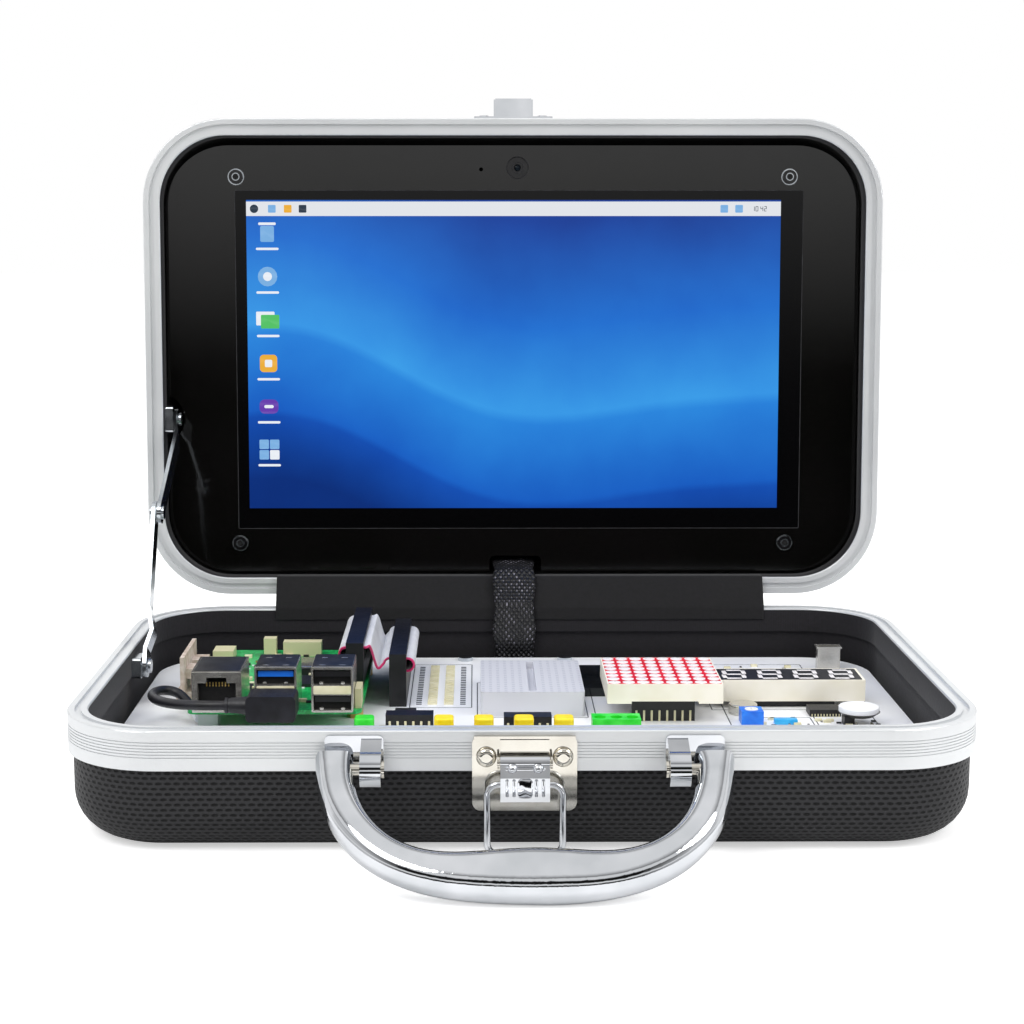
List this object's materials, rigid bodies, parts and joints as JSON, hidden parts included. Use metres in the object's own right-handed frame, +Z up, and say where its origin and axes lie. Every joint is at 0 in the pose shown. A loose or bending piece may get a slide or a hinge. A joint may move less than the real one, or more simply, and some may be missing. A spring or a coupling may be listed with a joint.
{
  "type": "electronics learning kit",
  "caption": "Electronics learning kit in a rimmed carrying case: hinged lid with a display panel, base with a single-board computer and module board, handle and draw latch.",
  "frame": {"origin": "centre of the base's flat underside, on the table", "axes": "+X to the user's right, +Y from the user towards the hinges, +Z up"},
  "size_m": [0.276, 0.2703, 0.2276],
  "materials": {
    "black_cloth": "woven black cloth",
    "black_plastic": "moulded black",
    "black_rubber": "soft black jacket",
    "blue_plastic": "moulded blue",
    "braid": "braided sleeve, black",
    "brass": "turned brass, bright",
    "chrome": "bright chrome plate",
    "cream_plastic": "moulded ivory",
    "dark_glass": "dark display face",
    "green_board": "green solder mask",
    "green_plastic": "moulded bright green",
    "grey_plastic": "moulded grey",
    "lining_cloth": "short pile, black",
    "nickel": "bright nickel plate",
    "panel_black": "satin black panel",
    "ribbon_grey": "grey ribbon cable",
    "rim_aluminium": "extruded, satin, clear anodised",
    "screen_glass": "clear cover glass over a lit display",
    "shell_plastic": "moulded, dimpled, black",
    "steel": "tinned sheet steel",
    "white_board": "white solder mask",
    "white_plastic": "moulded white",
    "yellow_plastic": "moulded yellow",
    "zinc_steel": "zinc plated"
  },
  "bodies": {
    "base": {"adapter_board": "green_board", "base_frame": "rim_aluminium", "base_lining": "lining_cloth", "base_shell": "shell_plastic", "board_screws": "zinc_steel", "breadboard": "white_plastic", "character_display": "dark_glass", "chips": "black_plastic", "coin_cell": "steel", "coin_cell_holder": "black_plastic", "display_harness": "braid", "display_sockets": "black_plastic", "ethernet_jack": "steel", "handle_brackets": "nickel", "hinge_base_leaves": "nickel", "hinge_cover": "black_cloth", "latch_plate": "nickel", "led_matrix": "cream_plastic", "main_board": "white_board", "pin_headers": "black_plastic", "ribbon_cable": "ribbon_grey", "ribbon_sockets": "black_plastic", "rivets_and_pins": "nickel", "sbc_board": "green_board", "sbc_connectors": "cream_plastic", "segment_display": "cream_plastic", "standoffs": "brass", "stay_base_bracket": "zinc_steel", "switch_bodies": "black_plastic", "terminal_block": "green_plastic", "trimmer_body": "blue_plastic", "upright_socket": "steel", "usb_cable": "black_rubber", "usb_plug": "black_rubber", "usb_stacks": "steel", "usb_tongues": "blue_plastic", "vibration_motor": "steel"},
    "lid": {"camera_module": "black_plastic", "hinge_lid_leaves": "nickel", "latch_catch": "nickel", "lcd_driver_board": "green_board", "lcd_module": "grey_plastic", "lid_frame": "rim_aluminium", "lid_lining": "lining_cloth", "lid_shell": "shell_plastic", "panel_fixings": "zinc_steel", "screen_glass": "screen_glass", "screen_panel": "panel_black", "stay_lid_bracket": "zinc_steel"},
    "stay_lower": {"stay_lower_link": "zinc_steel"},
    "stay_upper": {"stay_upper_link": "zinc_steel"},
    "handle": {"handle": "chrome"},
    "latch_lever": {"latch_lever": "nickel"},
    "latch_bail": {"latch_bail": "nickel"},
    "trimmer_rotor": {"trimmer_rotor": "white_plastic"},
    "key_green": {"button_green": "green_plastic"},
    "key_yellow_1": {"button_yellow_1": "yellow_plastic"},
    "key_yellow_2": {"button_yellow_2": "yellow_plastic"},
    "key_yellow_3": {"button_yellow_3": "yellow_plastic"},
    "key_yellow_4": {"button_yellow_4": "yellow_plastic"}
  },
  "joints": [
    {"name": "lid_hinge", "type": "hinge", "parent": "base", "child": "lid", "pos_m": [0, 0.0909, 0.0405], "axis": [1, 0, 0], "range_deg": [0, 93.4], "deforming": ["display_harness", "hinge_cover"]},
    {"name": "stay_lower_pivot", "type": "hinge", "parent": "base", "child": "stay_lower", "pos_m": [0, 0.017, 0.032], "axis": [1, 0, 0], "range_deg": [0, 109.4]},
    {"name": "stay_upper_pivot", "type": "hinge", "parent": "lid", "child": "stay_upper", "pos_m": [0, 0.09873, 0.10815], "axis": [1, 0, 0], "range_deg": [-117.5, 0]},
    {"name": "handle_swing", "type": "hinge", "parent": "base", "child": "handle", "pos_m": [0, -0.096, 0.02848], "axis": [-1, 0, 0], "range_deg": [0, 125]},
    {"name": "latch_lever_pivot", "type": "hinge", "parent": "base", "child": "latch_lever", "pos_m": [0, -0.0934, 0.0298], "axis": [-1, 0, 0], "range_deg": [0, 120]},
    {"name": "latch_bail_pivot", "type": "hinge", "parent": "latch_lever", "child": "latch_bail", "pos_m": [0, -0.0953, 0.0238], "axis": [1, 0, 0], "range_deg": [-150, 0]},
    {"name": "trimmer_turn", "type": "hinge", "parent": "base", "child": "trimmer_rotor", "pos_m": [0.0764, -0.0146, 0.024], "axis": [0, 0, 1], "range_deg": [-130, 130]},
    {"name": "key_yellow_1_press", "type": "slide", "parent": "base", "child": "key_yellow_1", "axis": [0, 0, -1], "range_m": [0, 0.0005], "stiffness_N_per_m": 900, "springref_m": -0.0006},
    {"name": "key_yellow_2_press", "type": "slide", "parent": "base", "child": "key_yellow_2", "axis": [0, 0, -1], "range_m": [0, 0.0005], "stiffness_N_per_m": 900, "springref_m": -0.0006},
    {"name": "key_yellow_3_press", "type": "slide", "parent": "base", "child": "key_yellow_3", "axis": [0, 0, -1], "range_m": [0, 0.0005], "stiffness_N_per_m": 900, "springref_m": -0.0006},
    {"name": "key_yellow_4_press", "type": "slide", "parent": "base", "child": "key_yellow_4", "axis": [0, 0, -1], "range_m": [0, 0.0005], "stiffness_N_per_m": 900, "springref_m": -0.0006},
    {"name": "key_green_press", "type": "slide", "parent": "base", "child": "key_green", "axis": [0, 0, -1], "range_m": [0, 0.0005], "stiffness_N_per_m": 900, "springref_m": -0.0006}
  ],
  "couplings": [
    {"joint": "stay_lower_pivot", "follows": "lid_hinge", "ratio": 1.1676},
    {"joint": "stay_upper_pivot", "follows": "lid_hinge", "ratio": -1.2547}
  ]
}
